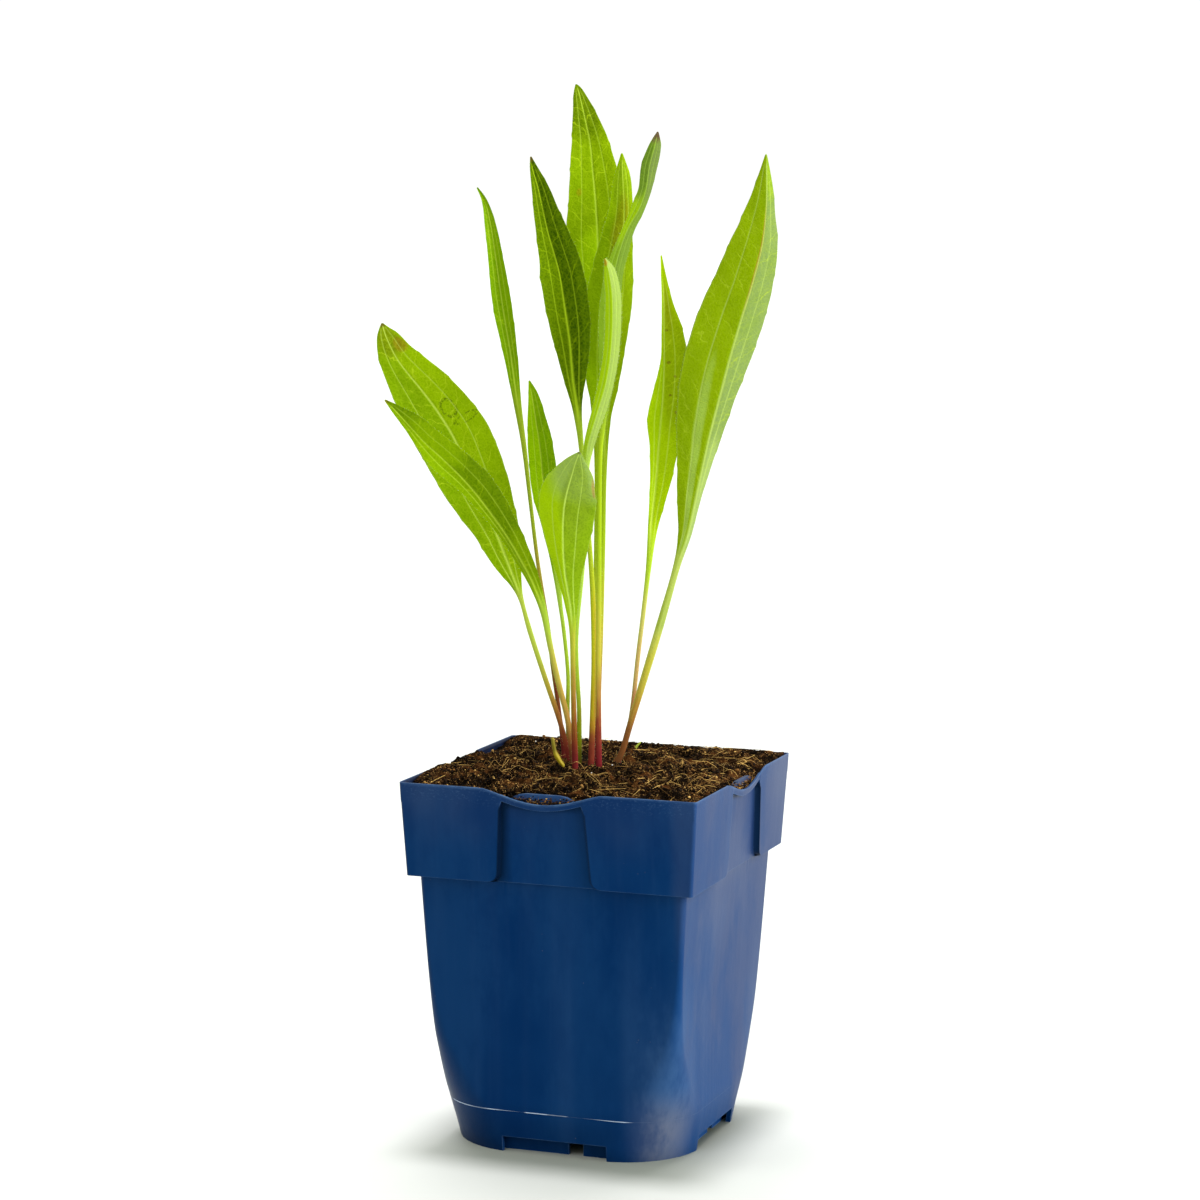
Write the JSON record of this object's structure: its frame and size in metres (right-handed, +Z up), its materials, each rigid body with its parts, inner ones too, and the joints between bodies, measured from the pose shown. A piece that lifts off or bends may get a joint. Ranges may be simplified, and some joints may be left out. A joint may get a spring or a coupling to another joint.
{
  "type": "potted coneflower",
  "caption": "Young coneflower with upright lance-shaped leaves, growing from fibrous potting soil in a square tapered plastic nursery pot with a proud collar and a notched foot",
  "frame": {"origin": "middle of the pot's base, on the surface that it stands on", "axes": "+Z up, the pot's front face looks along -Y, +X is to the right seen from the front"},
  "size_m": [0.1423, 0.11, 0.376],
  "materials": {
    "pot": "satin, faintly streaked and worn",
    "potting_soil": "damp, fibrous",
    "arching_left_leaf": "soft, finely haired",
    "near_left_leaf": "soft, finely haired",
    "slender_leaf": "soft, finely haired",
    "short_leaf": "soft, finely haired",
    "front_oval_leaf": "soft, finely haired",
    "dark_leaf": "soft, finely haired",
    "tallest_leaf": "soft, finely haired",
    "spotted_leaf": "soft, finely haired",
    "twisted_leaf": "soft, finely haired",
    "pale_leaf": "soft, finely haired",
    "narrow_right_leaf": "soft, finely haired",
    "broad_right_leaf": "soft, finely haired",
    "old_leaf_stalk": "dull",
    "young_sprout": "dull"
  },
  "bodies": {
    "root": {"pot": "pot", "potting_soil": "potting_soil", "arching_left_leaf": "arching_left_leaf", "near_left_leaf": "near_left_leaf", "slender_leaf": "slender_leaf", "short_leaf": "short_leaf", "front_oval_leaf": "front_oval_leaf", "dark_leaf": "dark_leaf", "tallest_leaf": "tallest_leaf", "spotted_leaf": "spotted_leaf", "twisted_leaf": "twisted_leaf", "pale_leaf": "pale_leaf", "narrow_right_leaf": "narrow_right_leaf", "broad_right_leaf": "broad_right_leaf", "old_leaf_stalk": "old_leaf_stalk", "young_sprout": "young_sprout"}
  },
  "joints": []
}
